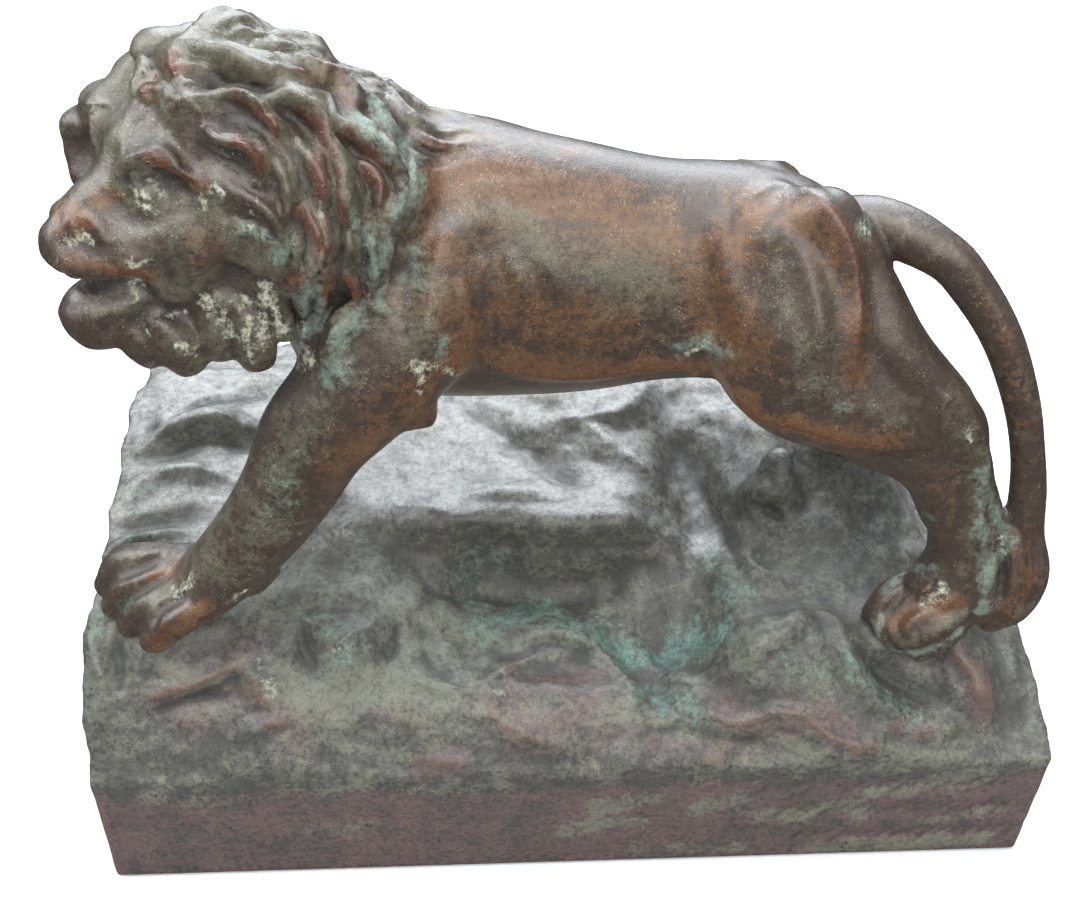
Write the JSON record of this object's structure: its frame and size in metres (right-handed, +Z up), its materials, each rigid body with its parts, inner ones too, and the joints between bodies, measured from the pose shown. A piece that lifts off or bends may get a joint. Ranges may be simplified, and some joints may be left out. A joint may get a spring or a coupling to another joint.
{
  "type": "bronze lion sculpture",
  "caption": "Striding bronze lion with a full mane on a rocky ground and a low rectangular plinth, a desk figure that stands by its own weight.",
  "frame": {"origin": "centre of the plinth's underside", "axes": "+Z up, X along the plinth's length with the lion's head towards -X, and the lion's face turned towards -Y"},
  "size_m": [0.262, 0.138, 0.2261],
  "materials": {
    "lion_bronze": "satin",
    "rock_bronze": "satin"
  },
  "bodies": {
    "root": {"lion": "lion_bronze", "rock_base": "rock_bronze"}
  },
  "joints": []
}
